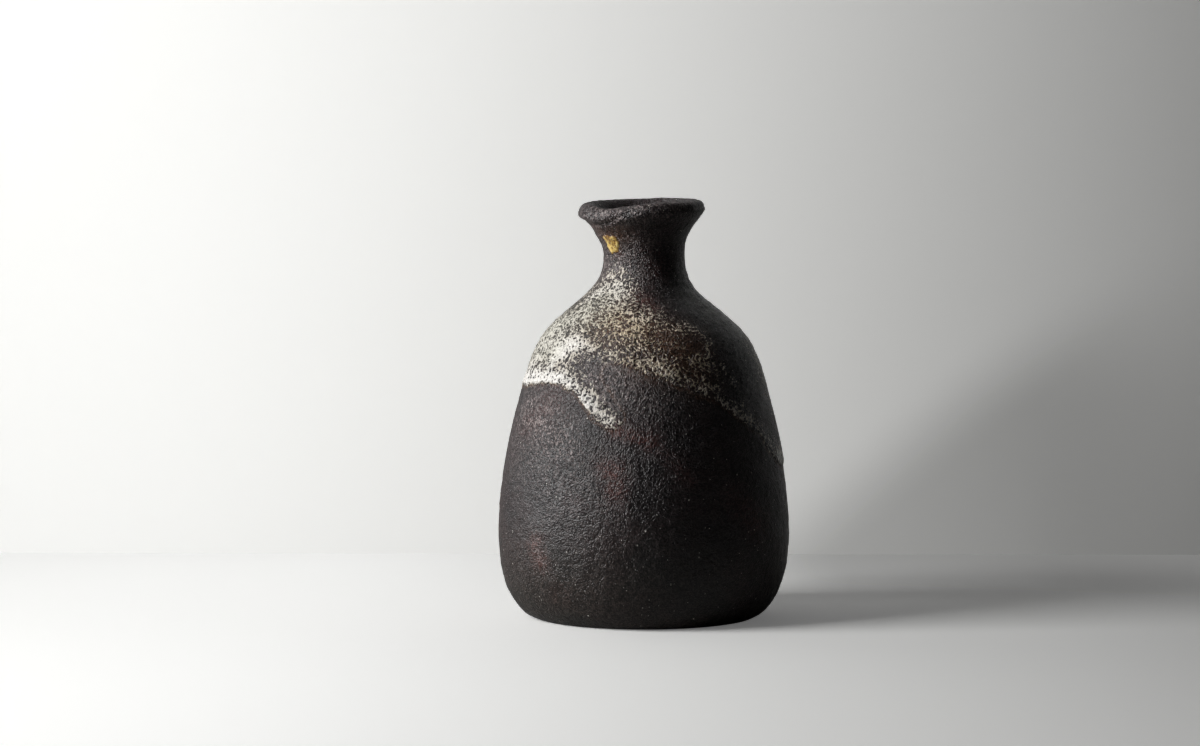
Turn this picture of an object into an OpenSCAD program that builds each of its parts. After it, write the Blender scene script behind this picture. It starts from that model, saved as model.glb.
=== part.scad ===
// Stoneware sake bottle (tokkuri) with a natural ash glaze.
//
// The bottle is a shell of revolution about +Z that stands on z = 0, and its front is -Y.
// It is built in the order a potter builds it: a floor slab, a thrown belly ring, a shoulder
// ring, a collared neck, a flared mouth and a half-round lip bead, each luted to the next
// on a sloping seam. The ash crust and the amber drop lie on the clay as thin skins.
//
// Every wall curve is a chain of Hermite cubics through a few stations. A station is
// [radius, height, lean, pull in, pull out]: the curve passes through it leaning at that angle
// above the outward horizontal, and a larger pull keeps it straighter on that side.

/* [Foot and belly] */
// Radius of the flat foot
foot_r = 34; // [31:0.5:36]
// Angle at which the wall leaves the foot, in degrees above the floor
foot_lean = 20; // [10:1:35]
// Largest outside radius, at the belly
belly_r = 45.5; // [42:0.5:48]
// Height of the largest radius
belly_z = 27.2; // [22:0.2:32]

/* [Shoulder] */
// Outside radius where the shoulder turns in
shoulder_r = 36.3; // [34:0.1:38]
// Height of that turn
shoulder_z = 78; // [75:0.5:80]
// Outside radius at the root of the neck
root_r = 20.8; // [19:0.1:22]
// Height of the neck's root
root_z = 99; // [97:0.5:100]

/* [Neck and mouth] */
// Outside radius of the neck at its narrowest, the throat
neck_r = 13; // [12.5:0.1:14]
// Height of the throat
throat_z = 113.3; // [112:0.1:114]
// Radius of the straight bore through the throat
bore_r = 9.3; // [8.5:0.1:9.5]
// Radius of the circle on which the lip bead is centred
lip_ring_r = 16.95; // [16.5:0.05:17.5]
// Height of the lip bead's centre above the throat
lip_rise = 13.6; // [13:0.1:14.5]
// Radius of the lip bead
lip_bead_r = 2.8; // [2.4:0.1:3]
// How far the mouth leans over, in degrees
mouth_tilt = 3; // [0:0.5:4]
// Compass direction in which it leans, in degrees from +X
mouth_tilt_to = 222; // [0:1:359]

/* [Clay walls] */
// Thickness of the floor
floor_t = 7; // [6:0.5:8]
// Wall thickness at the belly
belly_wall_t = 5; // [4:0.5:6]
// Wall thickness at the shoulder
shoulder_wall_t = 4.6; // [4:0.1:5.5]

/* [Glaze] */
// Thickness of the ash crust
crust_t = 0.5; // [0.4:0.1:0.8]
// Height at which the ash crust ends on the neck
crust_top_z = 106; // [103:1:110]
// Half the width of the amber drop
amber_half_w = 3.4; // [2:0.1:3.5]
// Half the height of the amber drop
amber_half_h = 3; // [2:0.1:3.5]
// Direction in which the amber drop lies, in degrees from +X
amber_to = 221; // [200:1:240]
// Height of the amber drop's centre above the throat
amber_rise = 4.9; // [3.5:0.1:5]

/* [Hidden] */

clay = "#3a302c";
clay_light = "#4a3d37";
ash = "#cfc8b4";
amber = "#c68a2e";

steps = 12;            // points on each stretch of a wall curve
reach = 60;            // beyond every outside radius
round_fn = 96;

// The lip bead runs round its circle from the outer tangent point to the inner one.
lip_outer_at = -40;
lip_inner_at = 135;

// Seams as [height on the axis, height at radius reach]. Each slopes as a luted coil does.
floor_seam = [17, -0.5];
belly_seam = [70, 48];
shoulder_seam = [109, 84];

outer_body = [
    [foot_r, 0, foot_lean, 1, 1],
    [belly_r, belly_z, 90, 1.05, 0.75],
    [shoulder_r, shoulder_z, 108.5, 1.1, 1],
    [root_r, root_z, 141.7, 1.55, 1.3],
    [neck_r, throat_z, 90, 1.13, 1],
];

floor_inner_r = foot_r - 7;
bore_bottom_z = throat_z - 8.5;
inner_body = [
    [floor_inner_r, floor_t, 0, 1, 1.1],
    [belly_r - belly_wall_t, belly_z + 1, 90, 1.1, 0.8],
    [shoulder_r - shoulder_wall_t, shoulder_z - 1.5, 109, 1.1, 1],
    [root_r - 4.3, root_z - 2.2, 141, 1.5, 1.2],
    [bore_r, bore_bottom_z, 90, 1.1, 1],
];

// The mouth is drawn in its own frame, with z = 0 at the throat.
lip_outer = lip_point(lip_outer_at);
lip_inner = lip_point(lip_inner_at);
outer_mouth = [
    [neck_r, 0, 90, 1, 1.2],
    [lip_outer[0], lip_outer[1], 90 + lip_outer_at, 1.35, 1],
];
inner_mouth = [
    [bore_r, 0, 86, 1, 1],
    [lip_inner[0], lip_inner[1], lip_inner_at - 90, 1, 1],
];

// Lower edge of the ash crust as seen from the front, [x, z] from left to right.
front_edge = [
    [-reach, 72], [-30, 74.5], [-24, 73.5], [-19.5, 70.5], [-13.5, 63.5], [-9.8, 62],
    [-8, 64.5], [-12.5, 68.5], [-18, 75.5], [-19.5, 78], [-18, 81], [-15, 83], [-10.5, 82.5],
    [-6.5, 81], [2, 77], [11, 74], [17, 71.5], [24, 68.5], [30, 62.5], [35, 59.5], [38.5, 54],
    [40.5, 50.5], [42.5, 48], [reach, 48],
];

// The same edge round the back, [x, z] from right to left as seen from the front.
back_edge = [
    [reach, 48], [43, 48.5], [42, 54], [38.5, 59], [34, 62], [27, 61], [21, 56.5], [17, 51],
    [13.5, 49.5], [9.5, 52], [6, 58], [0, 62.5], [-7, 65], [-16.5, 66.5], [-25.5, 63],
    [-30, 60.5], [-33.5, 63], [-37, 68], [-reach, 72],
];

amber_outline = [
    [-1, 0.75], [-0.5, 1], [0.1, 0.85], [0.6, 0.95], [1, 0.6], [0.85, 0],
    [0.95, -0.6], [0.55, -1], [-0.05, -0.9], [-0.5, -0.75], [-0.8, -0.1],
];

function lip_point(angle) = [
    lip_ring_r + lip_bead_r * cos(angle),
    lip_rise + lip_bead_r * sin(angle),
];

function lean_vector(angle) = [cos(angle), sin(angle)];

// The point at share t of the Hermite cubic from station a to station b.
function hermite(a, b, t) =
    let (
        from = [a[0], a[1]],
        to = [b[0], b[1]],
        leave = lean_vector(a[2]) * norm(to - from) * a[4],
        arrive = lean_vector(b[2]) * norm(to - from) * b[3]
    )
    (2 * t ^ 3 - 3 * t ^ 2 + 1) * from + (t ^ 3 - 2 * t ^ 2 + t) * leave
    + (3 * t ^ 2 - 2 * t ^ 3) * to + (t ^ 3 - t ^ 2) * arrive;

function curve(stations) = concat(
    [
        for (i = [0 : len(stations) - 2])
            for (k = [0 : steps - 1])
                hermite(stations[i], stations[i + 1], k / steps)
    ],
    [[stations[len(stations) - 1][0], stations[len(stations) - 1][1]]]
);

function backwards(points) = [for (i = [len(points) - 1 : -1 : 0]) points[i]];

// The direction that points out of a wall curve at its i-th point.
function outward(points, i) =
    let (
        before = points[max(i - 1, 0)],
        after = points[min(i + 1, len(points) - 1)],
        along = (after - before) / norm(after - before)
    )
    [along[1], -along[0]];

function moved_out(points, distance) =
    [for (i = [0 : len(points) - 1]) points[i] + distance * outward(points, i)];

// A skin of even thickness on a wall curve, as a half section.
module skin_section(points, thickness) {
    polygon(concat(points, backwards(moved_out(points, thickness))));
}

// Half section of all the clay below the throat.
module body_section() {
    polygon(concat(
        curve(outer_body),
        [[neck_r, throat_z + 2], [bore_r, throat_z + 2]],
        backwards(curve(inner_body)),
        [[0, floor_t], [0, 0]]
    ));
}

// The stretch of a half section between two sloping seams.
module between_seams(low, high) {
    intersection() {
        children();
        polygon([[0, low[0]], [reach, low[1]], [reach, high[1]], [0, high[0]]]);
    }
}

// Places what is drawn in the mouth's own frame, leaning about the throat's centre.
module at_mouth() {
    translate([0, 0, throat_z])
        rotate([0, 0, mouth_tilt_to])
            rotate([0, mouth_tilt, 0])
                rotate([0, 0, -mouth_tilt_to])
                    children();
}

module floor_slab() {
    color(clay)
        rotate_extrude($fn = round_fn)
            between_seams([-1, -1], floor_seam)
                body_section();
}

module belly_wall() {
    color(clay)
        rotate_extrude($fn = round_fn)
            between_seams(floor_seam, belly_seam)
                body_section();
}

module shoulder_wall() {
    color(clay_light)
        rotate_extrude($fn = round_fn)
            between_seams(belly_seam, shoulder_seam)
                body_section();
}

// The collar from the shoulder's seam up to the leaning plane of the throat.
module neck_collar() {
    color(clay)
        difference() {
            rotate_extrude($fn = round_fn)
                between_seams(shoulder_seam, [throat_z + 2, throat_z + 2])
                    body_section();
            at_mouth()
                cylinder(r = reach, h = 10, $fn = round_fn);
        }
}

module mouth_flare() {
    color(clay_light)
        at_mouth()
            rotate_extrude($fn = round_fn)
                polygon(concat(curve(outer_mouth), backwards(curve(inner_mouth))));
}

// The half-round bead on the mouth's sloping edge.
module lip_bead() {
    bead_side = lip_bead_r * 2;
    along = (lip_inner - lip_outer) / norm(lip_inner - lip_outer);
    up_and_out = [along[1], -along[0]] * bead_side;
    color(clay)
        at_mouth()
            rotate_extrude($fn = round_fn)
                intersection() {
                    translate([lip_ring_r, lip_rise])
                        circle(r = lip_bead_r, $fn = round_fn);
                    polygon([
                        lip_outer - along * bead_side,
                        lip_outer - along * bead_side + up_and_out,
                        lip_inner + along * bead_side + up_and_out,
                        lip_inner + along * bead_side,
                    ]);
                }
}

// Everything below a lower edge of the crust, on one side of the plane y = 0.
module below_edge(edge) {
    rotate([90, 0, 0])
        linear_extrude(height = reach)
            polygon(concat([[edge[0][0], 0]], edge, [[edge[len(edge) - 1][0], 0]]));
}

// The skin of melted wood ash, with its runs at the front and the back.
module ash_glaze() {
    crust_curve = [
        for (p = curve(outer_body))
            if (p[1] > 40 && p[1] < crust_top_z) p
    ];
    color(ash)
        difference() {
            rotate_extrude($fn = round_fn)
                skin_section(crust_curve, crust_t);
            below_edge(front_edge);
            translate([0, reach, 0])
                below_edge(back_edge);
        }
}

// The drop of clear amber glaze on the neck's left front.
module amber_glaze() {
    drop_curve = [
        for (p = curve(outer_mouth))
            if (p[1] < amber_rise + amber_half_h + 2) p
    ];
    color(amber)
        at_mouth()
            intersection() {
                rotate_extrude($fn = round_fn)
                    skin_section(drop_curve, crust_t);
                rotate([0, 0, amber_to + 90])
                    translate([0, 0, amber_rise])
                        rotate([90, 0, 0])
                            linear_extrude(height = reach)
                                polygon([
                                    for (p = amber_outline)
                                        [p[0] * amber_half_w, p[1] * amber_half_h]
                                ]);
            }
}

floor_slab();
belly_wall();
shoulder_wall();
neck_collar();
mouth_flare();
lip_bead();
ash_glaze();
amber_glaze();
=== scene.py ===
"""A wood-fired stoneware sake bottle with natural ash glaze.

The clay is one surface, a function of two parameters: the length s along the wall's section
and the angle round the axis. The section runs from the middle of the underside out to the foot,
up the outside, over the lip and down the inside to the middle of the floor. Each clay member is
a stretch of that surface, closed across its seams, and the glazes lie on it.

Shapes are worked out in millimetres and go into the meshes in metres. A place on the wall is
(angle, height), with the angle in degrees from the front, growing towards the right.
"""

import math

import bpy
import numpy as np
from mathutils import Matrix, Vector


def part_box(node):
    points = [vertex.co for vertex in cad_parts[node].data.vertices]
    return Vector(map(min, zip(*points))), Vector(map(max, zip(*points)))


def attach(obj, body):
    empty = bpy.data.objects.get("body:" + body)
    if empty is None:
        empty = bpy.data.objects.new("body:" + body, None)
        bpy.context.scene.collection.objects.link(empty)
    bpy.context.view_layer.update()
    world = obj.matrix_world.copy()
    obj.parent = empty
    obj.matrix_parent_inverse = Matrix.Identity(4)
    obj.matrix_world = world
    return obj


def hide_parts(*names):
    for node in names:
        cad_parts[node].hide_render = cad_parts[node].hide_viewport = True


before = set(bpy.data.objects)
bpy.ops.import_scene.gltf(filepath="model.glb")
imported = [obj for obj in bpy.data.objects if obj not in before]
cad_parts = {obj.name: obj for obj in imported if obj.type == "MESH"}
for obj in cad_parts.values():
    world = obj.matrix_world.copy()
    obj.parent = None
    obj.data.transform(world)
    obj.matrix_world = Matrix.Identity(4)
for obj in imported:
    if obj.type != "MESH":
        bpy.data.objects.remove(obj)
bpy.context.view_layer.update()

bl_info = {
    "name": "Stoneware Sake Bottle",
    "version": (1, 0, 0),
    "blender": (4, 5, 0),
    "location": "3D View > Sidebar > Pottery",
    "description": "Builds a wood-fired sake bottle with natural ash glaze, and its stage",
    "category": "Add Mesh",
}

MM = 0.001

# ---------------------------------------------------------------------------------------------
# The wall's section. A station is (radius, height, lean, pull in, pull out), as a potter's
# template would give it: the curve passes through it leaning at that angle above the outward
# horizontal, and a larger pull keeps it straighter on that side.

FOOT_R = 34.0
BELLY_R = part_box("belly_wall")[1].x / MM
WALL = 5
FLOOR_Z = 7.0
NECK_R, BORE_R, THROAT_Z = 13.0, 9.3, 113.3
OUTER_BODY = (
    (FOOT_R, 0.0, 20, 1, 1),
    (BELLY_R, 27.2, 90, 1.05, 0.75),
    (36.3, 78.0, 108.5, 1.1, 1),
    (20.8, 99.0, 141.7, 1.55, 1.3),
    (NECK_R, THROAT_Z, 90, 1.13, 1),
)
INNER_BODY = (
    (27.0, FLOOR_Z, 0, 1, 1.1),
    (BELLY_R - WALL, 28.2, 90, 1.1, 0.8),
    (31.7, 76.5, 109, 1.1, 1),
    (16.5, 96.8, 141, 1.5, 1.2),
    (BORE_R, 104.8, 90, 1.1, 1),
)
# The lip is a round bead on a ring, and the mouth's two faces meet it at these angles.
LIP_RING_R, LIP_Z, LIP_BEAD_R = 16.95, THROAT_Z + 13.6, 2.8
LIP_OUTER_AT, LIP_INNER_AT = -40, 135

# Seams between the members, as (height on the axis, height at radius SEAM_REACH).
SEAM_REACH = 60
FLOOR_SEAM = (17, -0.5)
BELLY_SEAM = (70, 48)
SHOULDER_SEAM = (109, 84)
THROAT_SEAM = (THROAT_Z, THROAT_Z)

# The mouth leans over by this angle, towards this direction in degrees from +X.
MOUTH_TILT, MOUTH_TILT_TO = 3.0, 222

# The section is sampled this finely, and the clay has this many points round the axis.
SECTION_STEP = 0.05
ROUND_STEPS = 560


def hermite(a, b, count=160):
    """Points on the Hermite cubic from station a to station b. Each end's tangent is the chord's
    length times the station's pull, in the direction of its lean."""
    start, end = np.array(a[:2], float), np.array(b[:2], float)
    chord = np.linalg.norm(end - start)
    leave = chord * a[4] * np.array([math.cos(math.radians(a[2])), math.sin(math.radians(a[2]))])
    arrive = chord * b[3] * np.array([math.cos(math.radians(b[2])), math.sin(math.radians(b[2]))])
    t = np.linspace(0, 1, count)[:, None]
    return (
        (2 * t**3 - 3 * t**2 + 1) * start
        + (t**3 - 2 * t**2 + t) * leave
        + (3 * t**2 - 2 * t**3) * end
        + (t**3 - t**2) * arrive
    )


def curve(stations):
    """The chain of cubics through all the stations."""
    return np.vstack([hermite(a, b) for a, b in zip(stations[:-1], stations[1:])])


def bead_point(angle):
    """The point of the lip bead's circle at that angle in degrees above the outward horizontal."""
    a = np.radians(angle)
    return np.stack([LIP_RING_R + LIP_BEAD_R * np.cos(a), LIP_Z + LIP_BEAD_R * np.sin(a)], -1)


class Section:
    """The wall's section: radius r, height z and the outward normal against the length s."""

    def __init__(self):
        lip_out, lip_in = bead_point(LIP_OUTER_AT), bead_point(LIP_INNER_AT)
        mouth_out = curve(((NECK_R, THROAT_Z, 90, 1, 1.2), (*lip_out, 90 + LIP_OUTER_AT, 1.35, 1)))
        mouth_in = curve(((BORE_R, THROAT_Z, 86, 1, 1), (*lip_in, LIP_INNER_AT - 90, 1, 1)))
        bead = bead_point(np.linspace(LIP_OUTER_AT, LIP_INNER_AT, 120))
        parts = (
            np.array([[0.0, 0.0], [FOOT_R, 0.0]]),
            curve(OUTER_BODY),
            mouth_out,
            bead,
            mouth_in[::-1],
            curve(INNER_BODY)[::-1],
            np.array([[0.0, FLOOR_Z]]),
        )
        line = np.vstack(parts)
        gaps = np.linalg.norm(np.diff(line, axis=0), axis=1)
        line = line[np.concatenate([[True], gaps > 1e-6])]
        reach = np.concatenate([[0], np.cumsum(np.linalg.norm(np.diff(line, axis=0), axis=1))])
        self.s = np.arange(0, reach[-1] + SECTION_STEP, SECTION_STEP)
        self.r = np.interp(self.s, reach, line[:, 0])
        self.z = np.interp(self.s, reach, line[:, 1])
        slope_r = np.gradient(self.r, self.s)
        slope_z = np.gradient(self.z, self.s)
        size = np.hypot(slope_r, slope_z)
        self.normal_r, self.normal_z = slope_z / size, -slope_r / size
        self.end = self.s[-1]
        self.lip_top = self.s[np.argmax(self.z)]
        self.foot = FOOT_R
        self.crease = self.nearest(lip_out, inside=False)
        self.lip_inner = self.nearest(lip_in, inside=True)
        self.throat = self.seam(THROAT_SEAM)[0]

    def side(self, inside):
        """Which samples lie outside, from the foot to the lip's top, or inside, beyond it."""
        return self.s > self.lip_top if inside else (self.s >= self.foot) & (self.s <= self.lip_top)

    def nearest(self, point, inside):
        """The length s of the sample nearest to a point on that side."""
        away = np.hypot(self.r - point[0], self.z - point[1])
        return self.s[np.argmin(np.where(self.side(inside), away, np.inf))]

    def seam(self, ends):
        """The lengths at which a straight seam cuts the outside and the inside."""
        above = self.z - (ends[0] + (ends[1] - ends[0]) * self.r / SEAM_REACH)
        cuts = []
        for inside in (False, True):
            here = np.flatnonzero(self.side(inside))
            turn = here[:-1][np.diff(np.sign(above[here])) != 0][0]
            share = above[turn] / (above[turn] - above[turn + 1])
            cuts.append(self.s[turn] + share * SECTION_STEP)
        return cuts

    def outside_at(self, z):
        """The length s at which the outside reaches height z."""
        here = self.side(False)
        return np.interp(z, self.z[here], self.s[here])

    def place(self, s, angle):
        """Points on the plain surface and its normals, for lengths s and angles in degrees."""
        a = np.radians(angle)
        r, z = np.interp(s, self.s, self.r), np.interp(s, self.s, self.z)
        out = np.interp(s, self.s, self.normal_r)
        up = np.interp(s, self.s, self.normal_z)
        points = np.stack([r * np.sin(a), -r * np.cos(a), z + 0 * a], -1)
        return points, np.stack([out * np.sin(a), -out * np.cos(a), up + 0 * a], -1)


SECTION = Section()

# ---------------------------------------------------------------------------------------------
# Smooth noise and soft shapes


def smooth_step(x):
    """0 below 0, 1 above 1, and the cubic that is level at both ends in between."""
    x = np.clip(x, 0, 1)
    return x * x * (3 - 2 * x)


def bell(x):
    """The bell curve: 1 at 0 and about a third at 1."""
    return np.exp(-(x**2))


def turned(angle):
    """An angle in degrees brought between -180 and 180."""
    return (angle + 180) % 360 - 180


def lattice_noise(points, cell, seed):
    """Noise from about -1 to 1: random values on a cubic lattice with the given cell size, each
    point blending the eight corners of its cell with a quintic fade along each axis."""
    count = 32
    values = np.random.default_rng(seed).uniform(-1, 1, (count, count, count)).astype(np.float32)
    where = points / cell
    low = np.floor(where).astype(int)
    fade = (where - low).astype(np.float32)
    fade = fade**3 * (fade * (fade * 6 - 15) + 10)
    total = np.zeros(points.shape[:-1], np.float32)
    for corner in np.ndindex(2, 2, 2):
        i, j, k = (low[..., axis] + corner[axis] for axis in range(3))
        share = np.prod(
            [fade[..., axis] if corner[axis] else 1 - fade[..., axis] for axis in range(3)], axis=0
        )
        total += share * values[i % count, j % count, k % count]
    return total * 1.6


def smooth_path(path, per_leg=10):
    """A Catmull-Rom spline through the path's points: each leg is the cubic whose end slopes are
    half the step between the two neighbouring points."""
    p = np.array(path, float)
    p = np.vstack([2 * p[0] - p[1], p, 2 * p[-1] - p[-2]])
    t = np.linspace(0, 1, per_leg, endpoint=False)[:, None]
    legs = [
        0.5
        * (
            2 * b
            + (c - a) * t
            + (2 * a - 5 * b + 4 * c - d) * t**2
            + (3 * b - a - 3 * c + d) * t**3
        )
        for a, b, c, d in zip(p[:-3], p[1:-2], p[2:-1], p[3:])
    ]
    return np.vstack([*legs, p[-2:-1]])


def on_wall(path):
    """Points of the outside, in millimetres, for (angle, height) pairs."""
    path = np.asarray(path, float)
    return SECTION.place(SECTION.outside_at(path[:, 1]), path[:, 0])[0]


def distance_to(points, marks):
    """Each point's distance to the nearest mark, by the cosine rule on whole arrays."""
    flat = points.reshape(-1, 3).astype(np.float32)
    marks = marks.astype(np.float32)
    squares = (flat**2).sum(1)[:, None] + (marks**2).sum(1)[None] - 2 * flat @ marks.T
    return np.sqrt(np.maximum(squares.min(1), 0)).reshape(points.shape[:-1])


def stroke(points, path, width):
    """A soft brush stroke on the wall: the bell curve of the distance to the smoothed path over
    the width."""
    dense = smooth_path(path) if len(path) > 1 else np.array(path, float)
    return bell(distance_to(points, on_wall(dense)) / width)


# ---------------------------------------------------------------------------------------------
# Where the glaze and the kiln's marks lie, as (angle, height)

# The lower edge of the ash, once round from the left through the front, and back to the left.
ASH_EDGE = (
    (-87, 72.6), (-70, 73), (-52, 74.4), (-40, 73.4), (-31, 70.3), (-25, 66.8), (-19, 63),
    (-13.5, 61.4), (-8.5, 63.5), (-11, 68), (-17, 73), (-21.5, 77.5), (-20, 80.6), (-15, 81.6),
    (-10, 80.8), (-4, 79.2), (3.5, 77.2), (11.5, 75.6), (17, 74), (26, 71.4), (38, 67.8),
    (48, 62.4), (58, 58.4), (64, 53.8), (70, 50.4), (77, 48), (84, 47.5), (92, 49), (102, 54),
    (114, 59), (126, 62), (140, 61), (150, 56.5), (157, 51), (162, 49.5), (167, 52), (172, 58),
    (180, 62.5), (190, 65), (204, 66.5), (218, 63), (226, 60.5), (234, 63), (244, 68),
    (256, 71), (266, 72), (273, 72.6),
)
EDGE_FROM = ASH_EDGE[0][0]

# Ash strokes: (path, width in mm, how much of the clay they cover).
ASH_STROKES = (
    # the thick roll along the left edge, and the run that forks from it
    (((-100, 75.6), (-84, 75.2), (-70, 75.2), (-56, 76), (-46, 76)), 3.4, 0.9),
    (((-100, 79), (-80, 79), (-66, 79.5)), 4.6, 0.44),
    (((-46, 77), (-38, 75.5), (-32, 72.5), (-26, 69.6)), 3.4, 0.76),
    (((-26, 69.6), (-20, 66.4), (-15, 64)), 3.3, 0.68),
    (((-51, 80), (-50, 83)), 4.0, 0.5),
    (((-49, 83), (-46, 86), (-40, 87)), 4.4, 0.72),
    (((-40, 87), (-32, 86)), 3.6, 0.5),
    (((-28, 85), (-20, 84)), 2.6, 0.32),
    # the white patch on the neck's root and its feathered top
    (((-58, 101.5), (-46, 103.5), (-34, 104), (-24, 102)), 4.6, 0.62),
    (((-55, 106), (-40, 107.5), (-25, 106), (-8, 103.5)), 3.2, 0.34),
    # the speckled middle
    (((-28, 99), (-14, 96.8), (-2, 95)), 5.0, 0.46),
    (((-2, 95), (10, 94)), 4.5, 0.2),
    (((-30, 94), (-16, 92), (-4, 90.5)), 6.0, 0.34),
    (((-4, 90.5), (8, 89.5)), 5.0, 0.15),
    (((-16, 83.4), (-5, 81.8), (4, 80), (11, 78.4)), 3.2, 0.52),
    (((11, 78.6), (18, 77), (26, 74.5), (36, 71), (43, 67.5), (49, 64.5)), 2.8, 0.38),
    (((46, 68), (53, 63.5), (59, 60), (64, 56.5), (69, 52.5), (76, 50.5)), 2.6, 0.36),
    # rings round two bare spots on the right
    (((17, 88), (21, 91), (28, 92), (35, 90.5), (37.5, 87), (34, 83.5), (27, 82)), 2.2, 0.36),
    (((30, 79), (36, 79.5), (43, 79), (48, 75), (50, 70), (45, 66.5)), 2.0, 0.22),
    # thinner ash on the left shoulder
    (((-100, 92), (-78, 91), (-62, 93), (-48, 97)), 8.0, 0.6),
    (((-95, 84), (-75, 84.5), (-58, 86)), 5.0, 0.5),
    # the back, with two long runs
    (((-160, 96), (-135, 92), (-112, 90)), 9.0, 0.6),
    (((86, 78), (104, 84), (126, 86), (150, 84), (176, 88), (196, 92)), 9.5, 0.5),
    (((196, 98), (216, 102), (240, 104), (262, 102)), 6.0, 0.66),
    (((76, 51), (86, 51), (94, 53), (104, 58), (116, 63), (128, 66), (141, 65)), 3.2, 0.72),
    (((141, 65), (151, 60), (158, 54.5), (162, 52.5)), 3.2, 0.9),
    (((170, 62), (180, 66.5), (192, 69), (205, 70)), 3.4, 0.8),
    (((205, 70), (217, 67), (226, 64)), 3.2, 0.9),
    (((234, 67), (245, 72), (256, 75), (266, 76.5)), 3.8, 0.9),
    (((150, 76), (158, 66), (160, 58)), 4.4, 0.6),
)
# Bare windows in the ash: (path, width, how much of the ash they take away).
BARE_STROKES = (
    (((-17, 77.5), (-13, 74), (-8, 71)), 4.6, 0.96),
    (((26.5, 87.4),), 2.6, 0.9),
    (((9, 89.5), (17, 88.5)), 3.4, 0.68),
    (((47, 69.5), (44, 72)), 2.4, 0.8),
    (((46, 99), (52, 92), (56, 84), (60, 76), (64, 68)), 8.0, 0.93),
    (((22, 103), (34, 100), (44, 96)), 6.0, 0.9),
    (((-47.5, 80),), 2.2, 0.6),
    (((-33, 91), (-26, 90.5)), 1.8, 0.5),
    (((-46, 99), (-38, 97)), 3.0, 0.4),
    (((8, 106), (24, 104), (40, 104)), 5.5, 0.9),
)
# Where the thin melted ash over iron is brown, and where it is olive.
BROWN_STROKES = (
    (((-22, 94), (-4, 91), (12, 88), (22, 85)), 9.0, 1.0),
    (((-8, 81), (6, 79)), 4.0, 0.6),
    (((-56, 121), (-38, 119), (-30, 121)), 3.8, 0.9),
    (((16, 80), (28, 76)), 5.0, 0.6),
    (((120, 84), (150, 80), (178, 82)), 12.0, 0.8),
)
OLIVE_STROKES = (
    (((-92, 94), (-74, 91), (-58, 94), (-44, 98)), 8.0, 1.0),
    (((-92, 83), (-72, 84), (-56, 84)), 5.0, 0.9),
    (((-44, 97), (-32, 94)), 5.0, 0.8),
    (((70, 98), (84, 90), (90, 78)), 10.0, 0.8),
    (((200, 96), (225, 96), (250, 94)), 12.0, 0.9),
)
# Where flame and iron flushed the clay red.
RUST_STROKES = (
    (((-13, 62), (-6, 60), (3, 58)), 2.4, 0.75),
    (((3, 58), (11, 52.5), (19, 46)), 2.4, 0.36),
    (((-12, 48), (-11, 44)), 3.8, 0.95),
    (((-46, 25), (-44, 20)), 3.6, 0.8),
    (((-17, 50),), 3.0, 0.5),
    (((-37, 9.7),), 4.0, 0.6),
    (((-84, 28), (-88, 36)), 6.0, 0.45),
    (((-62, 62), (-50, 66)), 7.0, 0.3),
    (((-62, 122), (-48, 120.5), (-38, 121.5), (-30, 121)), 3.2, 1.0),
    (((-34, 115), (-38, 113.5)), 2.5, 0.7),
    (((-6, 102), (4, 98)), 4.0, 0.9),
    (((-14, 120), (10, 114), (16, 108)), 5.0, 0.4),
    (((40, 40), (52, 30)), 5.0, 0.5),
    (((96, 40), (108, 34), (120, 38)), 6.0, 0.7),
    (((150, 40), (161, 44)), 5.0, 0.7),
    (((205, 52), (222, 46), (236, 50)), 6.0, 0.7),
    (((250, 30), (262, 24)), 7.0, 0.6),
)
# Where fly ash dusted the tops of the clay's grains, and where painted glints and sheen lie on them:
# the strokes on the left and the left front, in the window's light, are also painted glints.
DUST_AND_GLINT_STROKES = (
    (((-22, 78), (-14, 74)), 6.0, 0.95),
    (((-8, 75), (2, 72), (12, 70)), 5.0, 0.45),
    (((-66, 66), (-48, 62), (-38, 57)), 7.5, 0.85),
    (((-30, 54), (-22, 48)), 6.0, 0.15),
    (((-70, 54), (-50, 48), (-36, 40)), 10.0, 0.3),
    (((-46, 25), (-44, 21)), 4.0, 0.5),
    (((-58, 121), (-40, 118), (-24, 117)), 4.0, 0.65),
    (((-20, 44), (-16, 36)), 9.0, 0.18),
    (((-70, 111), (-44, 112), (-22, 109)), 5.0, 0.75),
    (((-22, 110), (-6, 107)), 5.0, 0.2),
    (((-100, 121), (-50, 120), (0, 119)), 5.0, 0.45),
    (((-120, 104), (-150, 104), (-180, 106), (-220, 104)), 8.0, 0.5),
    (((120, 52), (150, 46), (180, 56), (214, 56)), 8.0, 0.5),
    (((240, 60), (262, 64)), 8.0, 0.5),
)
# The middle of the amber drop, and how far it stands off the clay.
AMBER_PLACE, AMBER_DEPTH = (-47, 118.0), 0.4
# Spots where the clay is fused smooth: a blue-grey one beside the amber drop, and the shoulder.
SMOOTH_STROKES = (
    (((-27, 117.4), (-26.5, 116)), 1.5, 1.0),
    (((48, 98), (56, 88), (62, 78)), 11.0, 0.6),
)


def layered(points, strokes):
    """Strokes laid over each other: 1 less the product of what each leaves uncovered."""
    bare = 1.0
    for path, width, amount in strokes:
        bare = bare * (1 - amount * stroke(points, path, width))
    return 1 - bare


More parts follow.
